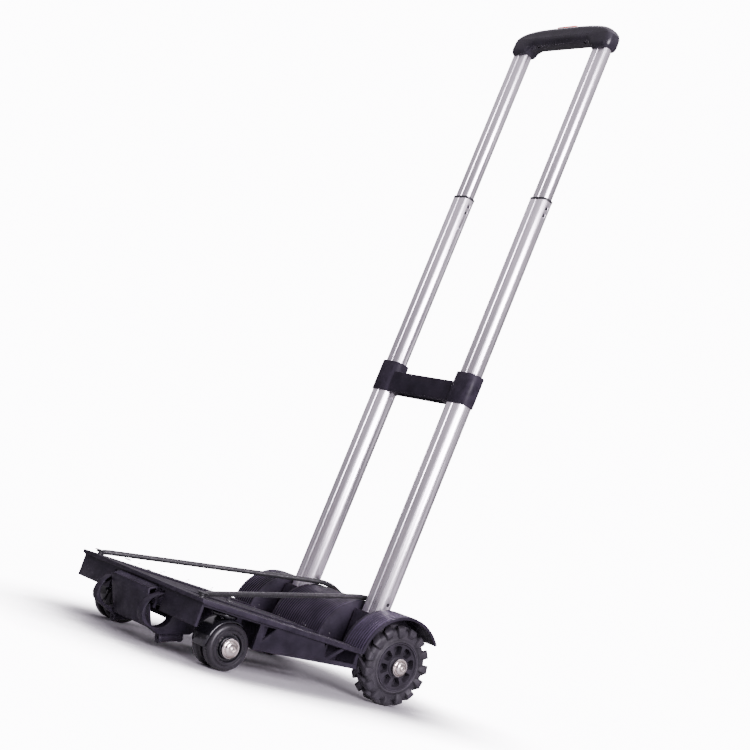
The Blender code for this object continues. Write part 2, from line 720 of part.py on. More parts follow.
def add_cord(name, side, deck):
    """Elastic cord from a hole at the front of the deck over the centre arch."""
    x0, l0 = CORD_FRONT
    x1, l1 = CORD_BACK
    over = FENDER_R + 0.0006 + CORD_R + GAP
    path = [Vector((x0, -l0, -0.0060)), Vector((x0, -l0, 0.0085))]
    path.append(Vector((x0 - 0.0010, -l0 + 0.0040, 0.0118)))
    top = Vector((x1, -l1 - over * sin(0.20), over * cos(0.20)))
    start = path[-1]
    for i in range(1, 19):
        path.append(start.lerp(top, i / 19))
    for i in range(0, 8):
        t = pi / 2 + 0.20 - i * (0.20 + 0.98) / 7
        path.append(Vector((x1, over * cos(t), over * sin(t))))
    curve = bpy.data.curves.new(name, "CURVE")
    curve.dimensions = "3D"
    curve.bevel_depth = CORD_R
    curve.bevel_resolution = 2
    curve.use_fill_caps = True
    curve.twist_mode = "MINIMUM"
    spline = curve.splines.new("POLY")
    spline.points.add(len(path) - 1)
    for point, place in zip(spline.points, path):
        point.co = (side * place.x, place.y, place.z, 1.0)
    curve.materials.append(material(name, *SHADES["cord"]))
    obj = bpy.data.objects.new(name, curve)
    bpy.context.scene.collection.objects.link(obj)
    obj.parent = deck


def caster(side, tag, deck):
    """Twin-wheel swivel caster under a front corner of the deck."""
    swivel = empty("caster_" + tag, deck, (side * STEM_X, -STEM_L, 0))
    trail = STEM_L - HUB_L
    hub = (trail, HUB_H)
    bm = bmesh.new()
    outline = []
    for t in np.linspace(radians(10), radians(170), 18):
        outline.append((trail * 0.35 + 0.0205 * cos(t), HUB_H + 0.0170 + 0.0150 * sin(t)))
    outline += [(-0.0090, HUB_H - 0.0060), (trail - 0.0070, HUB_H - 0.0095)]
    outline += [(trail + 0.0070, HUB_H - 0.0095), (trail + 0.0100, HUB_H)]
    half = CASTER_SPREAD - CASTER_W / 2 - 0.0006
    add_prism(bm, outline, -half, half, "x")
    body = publish("caster_fork_" + tag, bm, "gloss", swivel)
    dome = bmesh.new()
    profile = [(-0.0026, 0.0155), (-0.0040, 0.0160), (-0.0062, 0.0150), (-0.0092, 0.0038)]
    rows = []
    for z, radius in profile:
        rows.append([(a, b, z) for a, b in ring_points((0, 0), radius, 32)])
    add_loops(dome, rows)
    cut(body, cutter("fork_crown_" + tag, dome, swivel), "UNION")
    tool = bmesh.new()
    add_rod(tool, hub, 0.0035 + GAP, -0.02, 0.02, "x", 24)
    add_rod(tool, (0, 0), 0.0036 + GAP, -0.0140, 0.01, "z", 24)
    cut(body, cutter("fork_bores_" + tag, tool, swivel))
    bm = bmesh.new()
    add_rod(bm, (0, 0), 0.0036, -0.0136, DECK_TOP - 0.0025, "z", 24)
    publish("caster_stem_" + tag, bm, "steel", swivel)
    bm = bmesh.new()
    end = CASTER_SPREAD + CASTER_W / 2 + 0.0018
    profile = ((-end, 0.0035), (end, 0.0035), (end + 0.0002, 0.0095), (end + 0.0022, 0.0080))
    add_solid_lathe(bm, [(-side * a, r) for a, r in profile], hub, 28)
    publish("caster_axle_" + tag, bm, "steel", swivel)
    bm = bmesh.new()
    add_cap_nut(bm, side * (end + GAP), side, 0.0118, 0.0056, hub)
    publish("caster_cap_nut_" + tag, bm, "chrome", swivel)
    for face, where in ((-1, "inner"), (1, "outer")):
        turn = side * face
        spin = empty("caster_spin_" + where + "_" + tag, swivel, (0, *hub))
        middle = turn * CASTER_SPREAD
        w = CASTER_W / 2
        bm = bmesh.new()
        profile = [
            (-w, 0.0035 + GAP),
            (w, 0.0035 + GAP),
            (w, 0.0122),
            (w - 0.0030, 0.0126),
            (w - 0.0030, 0.0162),
            (w, 0.0170),
            (w - 0.0010, CASTER_R - 0.0045),
            (w - 0.0050, CASTER_R),
            (-w + 0.0050, CASTER_R),
            (-w, CASTER_R - 0.0050),
        ]
        add_lathe(bm, [(middle + x * turn, r) for x, r in profile], count=28)
        publish("caster_wheel_" + where + "_" + tag, bm, "rubber", spin)


def grip_outline():
    """Front view of the grip: an arch whose two legs reach down over the tubes."""
    top = []
    for t in np.linspace(0, pi, 19):
        wide = GRIP_HALF * np.sign(cos(t)) * abs(cos(t)) ** 0.62
        high = GRIP_Z + 0.012 + (GRIP_CREST - GRIP_Z - 0.012) * sin(t) ** 0.55
        top.append((float(wide), float(high)))
    inner = TUBE_X - 0.0172
    under = [(-GRIP_HALF + 0.0010, GRIP_Z), (-inner, GRIP_Z), (-inner + 0.0035, GRIP_Z + 0.0085)]
    under += [(-inner + 0.0110, GRIP_Z + 0.0122), (inner - 0.0110, GRIP_Z + 0.0122)]
    under += [(inner - 0.0035, GRIP_Z + 0.0085), (inner, GRIP_Z), (GRIP_HALF - 0.0010, GRIP_Z)]
    return top + under


def grip_shell(name, keep, parent):
    """One half of the grip, above or below the parting plane."""
    bm = bmesh.new()
    add_prism(bm, grip_outline(), TUBE_Y - GRIP_Y / 2, TUBE_Y + GRIP_Y / 2, "y")
    obj = publish(name, bm, "abs", parent)
    bevel(obj, 0.0084, 4, 50)
    tool = bmesh.new()
    if keep == "top":
        add_box(tool, (-0.2, -0.2, 0.8), (0.2, 0.2, SPLIT_Z + GAP / 2))
    else:
        add_box(tool, (-0.2, -0.2, SPLIT_Z - GAP / 2), (0.2, 0.2, 1.0))
    cut(obj, cutter(name + "_split", tool, parent))
    tool = bmesh.new()
    if keep == "top":
        add_box(tool, (-0.0880, TUBE_Y - 0.0060, 0.89), (0.0880, TUBE_Y + 0.0060, 0.9135))
        cut(obj, cutter("grip_channel_top", tool, parent))
        tool = bmesh.new()
        lo = (-BUTTON_HALF - 0.0004, TUBE_Y - BUTTON_Y - 0.0004, 0.90)
        hi = (BUTTON_HALF + 0.0004, TUBE_Y + BUTTON_Y + 0.0004, 0.96)
        add_box(tool, lo, hi)
        cut(obj, cutter("button_hole", tool, parent))
        return
    for side in (-1, 1):
        add_outline_block(tool, UPPER, -GAP, side, (GRIP_Z - 0.01, UPPER_Z[1] + GAP))
    cut(obj, cutter("grip_sockets", tool, parent))
    tool = bmesh.new()
    add_box(tool, (-0.0880, TUBE_Y - 0.0060, UPPER_Z[1] - 0.0020), (0.0880, TUBE_Y + 0.0060, 0.93))
    cut(obj, cutter("grip_channel_body", tool, parent))
    tool = bmesh.new()
    for side in (-1, 1):
        for y in (-0.0058, 0.0058):
            add_rod(tool, (side * 0.0480, TUBE_Y + y), 0.0022, GRIP_Z, GRIP_Z + 0.0165, "z", 16)
    cut(obj, cutter("grip_screw_holes", tool, parent))


def release_button(parent):
    """Push button in the crown of the grip, with the beam that works both rods."""
    bm = bmesh.new()
    lo = (-BUTTON_HALF, TUBE_Y - BUTTON_Y, 0.9095)
    hi = (BUTTON_HALF, TUBE_Y + BUTTON_Y, BUTTON_TOP)
    add_box(bm, lo, hi)
    obj = publish("release_button", bm, "red", parent)
    bevel(obj, 0.0034, 3, 40)
    bm = bmesh.new()
    add_box(bm, (-0.0865, TUBE_Y - 0.0045, 0.9042), (0.0865, TUBE_Y + 0.0045, 0.9092))
    yoke = publish("push_yoke", bm, "steel", parent)
    rods = bmesh.new()
    for side in (-1, 1):
        add_rod(rods, (side * TUBE_X, TUBE_Y), 0.0020, LOCK_Z_UPPER + 0.0165, 0.9060, "z", 16)
    cut(yoke, cutter("push_rods", rods, parent), "UNION")


def lean_and_stand(root):
    """Leans the cart back until all its wheels stand on the floor and centres it there."""
    forward = HUB_L * cos(DECK_TILT) + HUB_H * sin(DECK_TILT)
    below = HUB_L * sin(DECK_TILT) - HUB_H * cos(DECK_TILT)
    fall = atan2(below, forward) - asin((WHEEL_R - CASTER_R) / hypot(forward, below))
    root.rotation_euler = (-fall, 0, 0)
    bpy.context.view_layer.update()
    graph = bpy.context.evaluated_depsgraph_get()
    lows = []
    highs = []
    for obj in bpy.context.scene.objects:
        if obj.type == "EMPTY" or obj.hide_render:
            continue
        mesh = obj.evaluated_get(graph).to_mesh()
        points = np.array([obj.matrix_world @ v.co for v in mesh.vertices])
        lows.append(points.min(axis=0))
        highs.append(points.max(axis=0))
        obj.evaluated_get(graph).to_mesh_clear()
    low = np.min(lows, axis=0)
    high = np.max(highs, axis=0)
    root.location = (0, -(low[1] + high[1]) / 2, -low[2])
    bpy.context.view_layer.update()


def main():
    clear_scene()
    root = empty("cart", None)
    lower_tubes(root)
    bridge(root)
    feet(root)
    rear_axle(root)
    wheel_spacers(root)
    rear_wheels(root)
    middle = empty("stage_middle", root)
    middle_tubes(middle)
    top_rings(middle)
    upper = empty("stage_upper", middle)
    upper_tubes(upper)
    for side, tag in ((-1, "left"), (1, "right")):
        for name, size, z, level, stage in (
            ("lock_plug_middle_", MIDDLE, MIDDLE_Z[0], LOCK_Z_MIDDLE, middle),
            ("lock_plug_upper_", UPPER, UPPER_Z[0], LOCK_Z_UPPER, upper),
        ):
            lock_plug(name + tag, size, side, (z + 0.001, z + 0.026), level, stage)
        lock_bolt("lock_bolt_middle_" + tag, LOWER, side, LOCK_Z_MIDDLE, middle)
        lock_bolt("lock_bolt_upper_" + tag, MIDDLE, side, LOCK_Z_UPPER, upper)
    grip_shell("grip_body", "body", upper)
    grip_shell("grip_cover", "top", upper)
    button = empty("button", upper)
    release_button(button)
    deck = empty("deck", root, rotation=(DECK_TILT, 0, 0))
    tray = deck_tray(deck)
    arches(deck)
    hinge_ears(deck, tray)
    front_hood(deck)
    front_plates(deck)
    for side, tag in ((-1, "left"), (1, "right")):
        add_cord("elastic_cord_" + tag, side, deck)
        caster(side, tag, deck)
    lean_and_stand(root)


main()
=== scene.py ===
"""Folding luggage hand truck: finishes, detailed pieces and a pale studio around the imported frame."""

import json
from math import atan2, cos, pi, radians, sin

import bmesh
import bpy
from mathutils import Matrix, Vector


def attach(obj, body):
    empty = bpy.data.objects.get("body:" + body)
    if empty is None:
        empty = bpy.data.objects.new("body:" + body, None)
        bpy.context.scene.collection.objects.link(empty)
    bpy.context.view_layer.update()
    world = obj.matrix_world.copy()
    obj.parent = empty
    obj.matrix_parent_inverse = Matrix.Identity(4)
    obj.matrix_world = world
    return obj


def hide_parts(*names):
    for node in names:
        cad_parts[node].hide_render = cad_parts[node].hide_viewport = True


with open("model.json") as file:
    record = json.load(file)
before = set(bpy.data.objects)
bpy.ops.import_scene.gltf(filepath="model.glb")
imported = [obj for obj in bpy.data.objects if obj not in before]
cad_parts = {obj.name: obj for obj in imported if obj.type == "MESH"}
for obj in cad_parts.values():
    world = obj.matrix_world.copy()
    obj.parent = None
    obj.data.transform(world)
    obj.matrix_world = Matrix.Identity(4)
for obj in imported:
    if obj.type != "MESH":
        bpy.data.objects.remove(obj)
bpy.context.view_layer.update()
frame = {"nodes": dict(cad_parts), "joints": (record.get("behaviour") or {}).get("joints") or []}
NODES = frame["nodes"]
JOINTS = {j["name"]: j for j in frame["joints"]}
SIDES = ((-1, "left"), (1, "right"))

# Two working frames: the cart's, with z along the tubes, and the deck's, both on the rear axle.
AXLE = Vector(JOINTS["deck_fold"]["pos_m"])
TUBE_UP = -Vector(JOINTS["middle_slide"]["axis"]).normalized()
DECK_UP = Vector(JOINTS["caster_swivel_left"]["axis"]).normalized()


def basis(up, at):
    """Working frame with x across the cart and z along a given direction."""
    side = Vector((1, 0, 0))
    back = up.cross(side)
    return Matrix.Translation(at) @ Matrix((side, back, up)).transposed().to_4x4()


CART = basis(TUBE_UP, AXLE)
DECK = basis(DECK_UP, AXLE)


def local_box(name, place):
    """Lowest and highest corners of a CAD node, measured in one of the working frames."""
    to_local = place.inverted()
    points = [to_local @ v.co for v in NODES[name].data.vertices]
    low = Vector(min(p[k] for p in points) for k in range(3))
    high = Vector(max(p[k] for p in points) for k in range(3))
    return low, high


# The photograph's viewing angle
CAMERA_AT = (1.7054, -1.2178, 0.2129)
CAMERA_TURN = (95.389, -16.480, 51.772)
LENS = 76.8

# Angle, in degrees, past which an edge of a node counts as hard
HARD_EDGE = 35

# Brightness of the backdrop and floor as the camera sees them
BACKDROP_GLOW = 13.0
FLOOR_GLOW = 12.0
ROOM_LIGHT = 0.50

PALE = (0.99, 0.955, 1.0, 1)

# Radius of the floor, reach of the soft contact shadow on it, in metres, and how dark that is
FLOOR_R = 1.6
SHADOW_REACH = 0.22
SHADOW_DEPTH = 11.0

# Ribs of the arches and the hood, in metres
RIB_PITCH = 0.0048
RIB_HEIGHT = 0.0009
RIB_MARK = 0.0021
RIM_OF_ARCH = 0.0024

# Cords, in metres
YARN_PITCH = 0.0075
CORD_R = 0.0034

# Rear wheels: metres, and radians for the half angle of a window in the rim
LUG_HEIGHT = 0.0046
BEAD_R = 0.0310
AXLE_BORE_R = 0.0053
WINDOW_R = 0.0206
WINDOW_HALF_HEIGHT = 0.0056
WINDOW_HALF_ANGLE = 0.275

# How many lugs a row, windows a rim and yarns a cord
LUGS = 15
WINDOWS = 8
YARN_TURNS = 6

# Stages of the tubes
STAGES = ("lower", "middle", "upper")


# Materials


def tree_of(name):
    """New material, with its node tree and its shader."""
    mat = bpy.data.materials.new(name)
    mat.use_nodes = True
    return mat, mat.node_tree, mat.node_tree.nodes["Principled BSDF"]


def node(tree, kind, **values):
    """New shader node, with in_0, in_1 and so on for its inputs and plain names for its settings."""
    made = tree.nodes.new("ShaderNode" + kind)
    for key, value in values.items():
        if key.startswith("in_"):
            made.inputs[int(key[3:])].default_value = value
        else:
            setattr(made, key, value)
    return made


def noise(tree, scale, detail=3.0, stretch=None):
    """Noise in metres of the rest frame, stretched along the tubes if asked."""
    where = node(tree, "TexCoord")
    out = where.outputs["Object"]
    if stretch:
        turn = node(tree, "Mapping")
        turn.inputs["Rotation"].default_value = (atan2(TUBE_UP.y, TUBE_UP.z), 0, 0)
        squeeze = node(tree, "Mapping")
        squeeze.inputs["Scale"].default_value = stretch
        tree.links.new(out, turn.inputs["Vector"])
        tree.links.new(turn.outputs[0], squeeze.inputs["Vector"])
        out = squeeze.outputs[0]
    made = node(tree, "TexNoise")
    made.inputs["Scale"].default_value = scale
    made.inputs["Detail"].default_value = detail
    tree.links.new(out, made.inputs["Vector"])
    return made.outputs["Fac"]


def ramp(tree, source, low, high, start=0.35, end=0.65):
    """Colour or grey ramp from low to high."""
    made = node(tree, "ValToRGB")
    for stop, place, value in zip(made.color_ramp.elements, (start, end), (low, high)):
        stop.position = place
        stop.color = (*value, 1.0) if isinstance(value, tuple) else (value, value, value, 1.0)
    tree.links.new(source, made.inputs["Fac"])
    return made.outputs["Color"]


def bump(tree, shader, source, strength, depth):
    """Adds a layer of relief under any relief that the shader already has."""
    made = node(tree, "Bump")
    made.inputs["Strength"].default_value = strength
    made.inputs["Distance"].default_value = depth
    tree.links.new(source, made.inputs["Height"])
    previous = shader.inputs["Normal"]
    if previous.links:
        tree.links.new(previous.links[0].from_socket, made.inputs["Normal"])
    tree.links.new(made.outputs["Normal"], previous)


def worn_edges(tree, shader, pale, share=0.5):
    """Paler, rubbed tone on the convex edges."""
    form = node(tree, "NewGeometry")
    mask = ramp(tree, form.outputs["Pointiness"], 0.0, 1.0, 0.52, 0.60)
    patch = node(tree, "Math", operation="MULTIPLY")
    tree.links.new(mask, patch.inputs[0])
    tree.links.new(ramp(tree, noise(tree, 130.0, 4.0), 0.2 * share, share), patch.inputs[1])
    mix = node(tree, "Mix", data_type="RGBA")
    mix.inputs[7].default_value = (*pale, 1.0)
    tree.links.new(patch.outputs[0], mix.inputs["Factor"])
    tree.links.new(shader.inputs["Base Color"].links[0].from_socket, mix.inputs[6])
    tree.links.new(mix.outputs[2], shader.inputs["Base Color"])


def moulded(name, dark, pale, rough, grain=2600.0, depth=0.00012, shine=0.10, coat=0.0):
    """Moulded plastic: cloudy tone, uneven gloss, fine spark-eroded grain and rubbed edges."""
    mat, tree, shader = tree_of(name)
    tree.links.new(ramp(tree, noise(tree, 34.0, 4.0), dark, pale), shader.inputs["Base Color"])
    tree.links.new(ramp(tree, noise(tree, 55.0, 5.0), *rough), shader.inputs["Roughness"])
    shader.inputs["Specular IOR Level"].default_value = shine
    shader.inputs["Coat Weight"].default_value = coat
    shader.inputs["Coat Roughness"].default_value = 0.10
    worn_edges(tree, shader, tuple(min(1.0, 2.4 * c) for c in pale))
    bump(tree, shader, noise(tree, grain, 2.0), 0.35, depth)
    bump(tree, shader, noise(tree, 90.0, 2.0), 0.25, 0.0004)
    return mat


def wave(tree, source, period):
    """Cosine stripes of the given period over a coordinate, from 0 to 1."""
    scaled = node(tree, "Math", operation="MULTIPLY", in_1=2 * pi / period)
    tree.links.new(source, scaled.inputs[0])
    wavy = node(tree, "Math", operation="COSINE")
    tree.links.new(scaled.outputs[0], wavy.inputs[0])
    lifted = node(tree, "Math", operation="MULTIPLY_ADD", in_1=0.5, in_2=0.5)
    tree.links.new(wavy.outputs[0], lifted.inputs[0])
    return lifted.outputs[0]


def ribbed(name, centre, radius, tone=1.0):
    """Moulded plastic whose ribs, round an axis along x, are broken into short weave marks, with a painted
    highlight on the rib crests and painted shade in the hollows; a tone below one darkens all of it as
    painted shade.
    """
    mat = moulded(name, (0.0095, 0.0080, 0.0120), (0.0190, 0.0160, 0.0230), (0.36, 0.5))
    tree = mat.node_tree
    shader = tree.nodes["Principled BSDF"]
    where = node(tree, "TexCoord")
    split = node(tree, "SeparateXYZ")
    tree.links.new(where.outputs["Object"], split.inputs[0])
    offsets = []
    for axis, middle in ((1, centre.y), (2, centre.z)):
        shifted = node(tree, "Math", operation="SUBTRACT", in_1=middle)
        tree.links.new(split.outputs[axis], shifted.inputs[0])
        offsets.append(shifted.outputs[0])
    turn = node(tree, "Math", operation="ARCTAN2")
    tree.links.new(offsets[0], turn.inputs[0])
    tree.links.new(offsets[1], turn.inputs[1])
    ribs = wave(tree, split.outputs[0], RIB_PITCH)
    marks = wave(tree, turn.outputs[0], RIB_MARK / radius)
    product = node(tree, "Math", operation="MULTIPLY")
    tree.links.new(ribs, product.inputs[0])
    both = node(tree, "Math", operation="MULTIPLY_ADD", in_1=0.45, in_2=0.55)
    tree.links.new(marks, both.inputs[0])
    tree.links.new(both.outputs[0], product.inputs[1])
    bump(tree, shader, product.outputs[0], 0.7, 0.0004)
    # Painted light and shade: the base colour is multiplied up on the rib crests as a painted highlight and
    # down in the hollows as painted shade, all scaled by tone.
    tint = node(tree, "Mix", data_type="RGBA", blend_type="MULTIPLY")
    tint.inputs["Factor"].default_value = 0.85
    base = shader.inputs["Base Color"].links[0].from_socket
    tree.links.new(base, tint.inputs[6])
    crest_highlight = tuple(tone * c for c in (4.4, 4.1, 4.7))
    shade = ramp(tree, product.outputs[0], 0.22 * tone, crest_highlight, 0.1, 0.8)
    tree.links.new(shade, tint.inputs[7])
    tree.links.new(tint.outputs[2], shader.inputs["Base Color"])
    return mat


def drawn_metal(name, dark, pale, rough):
    """Drawn tube: long fine die lines, cloudy anodising and small rubbed patches."""
    mat, tree, shader = tree_of(name)
    shader.inputs["Metallic"].default_value = 1.0
    fine = noise(tree, 1.0, 3.0, (1500.0, 1500.0, 9.0))
    cloud = noise(tree, 1.0, 4.0, (60.0, 60.0, 5.0))
    tree.links.new(ramp(tree, cloud, dark, pale), shader.inputs["Base Color"])
    streaks = noise(tree, 1.0, 3.0, (420.0, 420.0, 12.0))
    tree.links.new(ramp(tree, streaks, *rough), shader.inputs["Roughness"])
    bump(tree, shader, fine, 0.35, 0.00005)
    return mat


def polished(name, colour, rough):
    """Bright plating with a faint orange peel and fingered patches."""
    mat, tree, shader = tree_of(name)
    shader.inputs["Metallic"].default_value = 1.0
    low = tuple(0.90 * c for c in colour)
    tree.links.new(ramp(tree, noise(tree, 160.0, 3.0), low, colour), shader.inputs["Base Color"])
    tree.links.new(ramp(tree, noise(tree, 240.0, 4.0), *rough), shader.inputs["Roughness"])
    bump(tree, shader, noise(tree, 260.0, 2.0), 0.06, 0.00004)
    return mat


def rubber(name, dark, pale, rough, shine=0.30):
    """Rubber: bloom and dust in the hollows, slight pebble, rubbed edges."""
    mat, tree, shader = tree_of(name)
    tree.links.new(ramp(tree, noise(tree, 48.0, 6.0), dark, pale, 0.3, 0.7), shader.inputs["Base Color"])
    tree.links.new(ramp(tree, noise(tree, 120.0, 4.0), *rough), shader.inputs["Roughness"])
    shader.inputs["Specular IOR Level"].default_value = shine
    worn_edges(tree, shader, tuple(1.8 * c for c in pale), 0.6)
    bump(tree, shader, noise(tree, 1300.0, 3.0), 0.4, 0.00015)
    return mat


def braided(name):
    """Woven sleeve of a cord: yarn fibres with a soft sheen."""
    mat, tree, shader = tree_of(name)
    where = node(tree, "TexCoord")
    made = node(tree, "TexVoronoi")
    made.inputs["Scale"].default_value = 900.0
    tree.links.new(where.outputs["Object"], made.inputs["Vector"])
    shade = ramp(tree, made.outputs["Distance"], (0.012, 0.0115, 0.014), (0.003, 0.003, 0.004), 0.1, 0.7)
    tree.links.new(shade, shader.inputs["Base Color"])
    tree.links.new(ramp(tree, noise(tree, 300.0), 0.45, 0.7), shader.inputs["Roughness"])
    shader.inputs["Sheen Weight"].default_value = 0.05
    bump(tree, shader, made.outputs["Distance"], 0.5, 0.0003)
    return mat


HOOD_LOW, HOOD_HIGH = local_box("front_hood", DECK)
FENDER_LOW, FENDER_HIGH = local_box("fender_right", DECK)
ARCH_LOW, ARCH_HIGH = local_box("arch_centre", DECK)
ARCH_R = FENDER_HIGH.z
DECK_LEVEL = local_box("deck_tray", DECK)[1].z
STEM_LOW, STEM_HIGH = local_box("caster_stem_right", DECK)
CASTER_STEM_X = (STEM_LOW.x + STEM_HIGH.x) / 2
CASTER_STEM_L = -(STEM_LOW.y + STEM_HIGH.y) / 2
HOOD_R = 0.0306
HOOD_AT = Vector((0, -0.3006, -0.0296))

ABS = moulded("black_moulding", (0.0095, 0.0078, 0.0120), (0.0200, 0.0165, 0.0245), (0.36, 0.54))
GLOSS = moulded("gloss_moulding", (0.004, 0.004, 0.005), (0.009, 0.0085, 0.011), (0.12, 0.24),
                grain=1500.0, depth=0.00003, shine=0.4, coat=0.3)
GRIP = moulded("grip_moulding", (0.009, 0.0078, 0.0115), (0.018, 0.0155, 0.022), (0.24, 0.36), shine=0.42)
RED = moulded("red_moulding", (0.60, 0.030, 0.015), (0.75, 0.060, 0.030), (0.25, 0.40))
FENDER = ribbed("ribbed_arch", AXLE, ARCH_R)
# Painted shade: the hood's copy of the ribbed material is darkened to 0.40 of the arches' brightness.
SHADED_RIBBED_HOOD = ribbed("ribbed_hood_painted_shade", DECK @ HOOD_AT, HOOD_R, 0.40)
ALLOY = drawn_metal("drawn_alloy", (0.84, 0.79, 0.85), (0.93, 0.89, 0.94), (0.26, 0.36))
STEEL = drawn_metal("plated_steel", (0.42, 0.42, 0.44), (0.60, 0.60, 0.62), (0.25, 0.45))
CHROME = polished("chrome", (0.84, 0.76, 0.72), (0.03, 0.10))
TYRE = rubber("tyre_rubber", (0.011, 0.0097, 0.0127), (0.025, 0.022, 0.0275), (0.50, 0.72))
RIM = moulded("rim_moulding", (0.014, 0.0125, 0.016), (0.027, 0.024, 0.030), (0.38, 0.55))
TREAD = rubber("caster_rubber", (0.009, 0.0080, 0.0100), (0.0150, 0.0135, 0.0165), (0.26, 0.42))
SEAL = rubber("seal_rubber", (0.008, 0.008, 0.009), (0.018, 0.018, 0.020), (0.40, 0.60))
CORD = braided("woven_cord")

# Material and slot for each node, by the first match at the start of its name
FINISH = (
    ("tube_lower", ALLOY, "alloy"),
    ("tube_middle", ALLOY, "alloy"),
    ("tube_upper", ALLOY, "alloy"),
    ("seal_ring", SEAL, "caster_tread"),
    ("rear_tyre", TYRE, "wheel_rubber"),
    ("rear_rim", RIM, "abs"),
    ("caster_wheel", TREAD, "caster_tread"),
    ("caster_fork", GLOSS, "gloss"),
    ("caster_cap", CHROME, "chrome_cap"),
    ("rear_cap", CHROME, "chrome_cap"),
    ("release_button", RED, "red_button"),
    ("elastic_cord", CORD, "cord"),
    ("arch_centre", ABS, "abs"),
    ("grip", GRIP, "abs"),
    ("rear_axle", STEEL, "steel"),
    ("axle_spacer", STEEL, "steel"),
    ("push_yoke", STEEL, "steel"),
    ("lock_bolt", STEEL, "steel"),
    ("caster_stem", STEEL, "steel"),
    ("caster_axle", STEEL, "steel"),
    ("", ABS, "abs"),
)


def finish_of(name):
    """Material and slot of a node."""
    for start, mat, slot in FINISH:
        if name.startswith(start):
            return mat, slot


def soften(obj, width, merge):
    """Small moulded radii on the hard edges, with smooth shading over them.

    Merging joins flat faces first. It spoils a node with openings right through its flat faces.
    """
    for face in obj.data.polygons:
        face.use_smooth = True
    weld = obj.modifiers.new("weld", "WELD")
    weld.merge_threshold = 0.00001
    if merge:
        flat = obj.modifiers.new("flat", "DECIMATE")
        flat.decimate_type = "DISSOLVE"
        flat.angle_limit = radians(0.6)
    if width:
        round_off = obj.modifiers.new("radii", "BEVEL")
        round_off.width = width
        round_off.segments = 2
        round_off.limit_method = "ANGLE"
        round_off.angle_limit = radians(HARD_EDGE)
        round_off.use_clamp_overlap = False
        round_off.harden_normals = False
    split = obj.modifiers.new("split", "EDGE_SPLIT")
    split.split_angle = radians(HARD_EDGE)
    split.use_edge_sharp = False


# Radius on the hard edges of each node, by the first match at the start of its name
ROUNDING = (
    ("deck_tray", 0.00045),
    ("tube_bridge", 0.0006),
    ("tube_foot", 0.0008),
    ("front_plate", 0.0007),
    ("front_hood", 0.0004),
    ("carry_bar", 0.0004),
    ("fender", 0.0003),
    ("arch_centre", 0.0003),
    ("rear_rim", 0.0005),
    ("tube_", 0.0002),
)

# Nodes whose flat faces are not joined
PIERCED = ("deck_tray", "tube_bridge")


def dress_nodes():
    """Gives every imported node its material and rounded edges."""
    for name, obj in NODES.items():
        mat, slot = finish_of(name)
        obj.data.materials.clear()
        obj.data.materials.append(mat)
        width = next((w for start, w in ROUNDING if name.startswith(start)), 0.0)
        soften(obj, width, name not in PIERCED)


# Mesh helpers


def add_loops(bm, loops, closed=False):
    """Joins equal rings of points with faces, and caps both ends unless the last meets the first."""
    rings = [[bm.verts.new(p) for p in loop] for loop in loops]
    pairs = list(zip(rings, rings[1:] + (rings[:1] if closed else [])))
    count = len(rings[0])
    for one, other in pairs:
        for k in range(count):
            after = (k + 1) % count
            bm.faces.new((one[k], one[after], other[after], other[k]))
    if not closed:
        bm.faces.new(rings[0][::-1])
        bm.faces.new(rings[-1])


def circle(at, radius, count):
    """Ring of points (y, z) round a centre."""
    angles = [2 * pi * k / count for k in range(count)]
    return [(at[0] + radius * cos(t), at[1] + radius * sin(t)) for t in angles]


def add_turned(bm, profile, at=(0, 0), count=64, closed=True):
    """Turns a profile of (x, radius) about a line along x through (y, z)."""
    loops = [[(x, a, b) for a, b in circle(at, r, count)] for x, r in profile]
    add_loops(bm, loops, closed)


def arc(x, r, radius, start, end, steps):
    """Points (x, r) on an arc, with angles in degrees from the +x direction."""
    points = []
    for k in range(steps + 1):
        t = radians(start + (end - start) * k / steps)
        points.append((x + radius * cos(t), r + radius * sin(t)))
    return points


def add_swept(bm, path, radii, sides):
    """Round bar along a path of points, with one radius or function of (step, angle) for each."""
    across = None
    loops = []
    for k, here in enumerate(path):
        ahead = path[min(k + 1, len(path) - 1)] - path[max(k - 1, 0)]
        ahead.normalize()
        if across is None:
            across = ahead.orthogonal().normalized()
        across = (across - ahead * across.dot(ahead)).normalized()
        up = ahead.cross(across)
        loop = []
        for i in range(sides):
            t = 2 * pi * i / sides
            r = radii(k, t)
            loop.append(here + across * (r * cos(t)) + up * (r * sin(t)))
        loops.append(loop)
    add_loops(bm, loops)


def piece(name, bm, place, mat, body, width=0.0, angle=35):
    """Bakes a mesh from a working frame into the row frame and sets it on its body."""
    bmesh.ops.transform(bm, matrix=place, verts=bm.verts)
    bmesh.ops.recalc_face_normals(bm, faces=bm.faces)
    mesh = bpy.data.meshes.new(name)
    bm.to_mesh(mesh)
    bm.free()
    obj = bpy.data.objects.new(name, mesh)
    bpy.context.scene.collection.objects.link(obj)
    mesh.materials.append(mat)
    for face in mesh.polygons:
        face.use_smooth = True
    if width:
        round_off = obj.modifiers.new("radii", "BEVEL")
        round_off.width = width
        round_off.segments = 2
        round_off.limit_method = "ANGLE"
        round_off.angle_limit = radians(angle)
        round_off.use_clamp_overlap = True
    split = obj.modifiers.new("split", "EDGE_SPLIT")
    split.split_angle = radians(angle)
    split.use_edge_sharp = False
    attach(obj, body)
    return obj


# Wheels


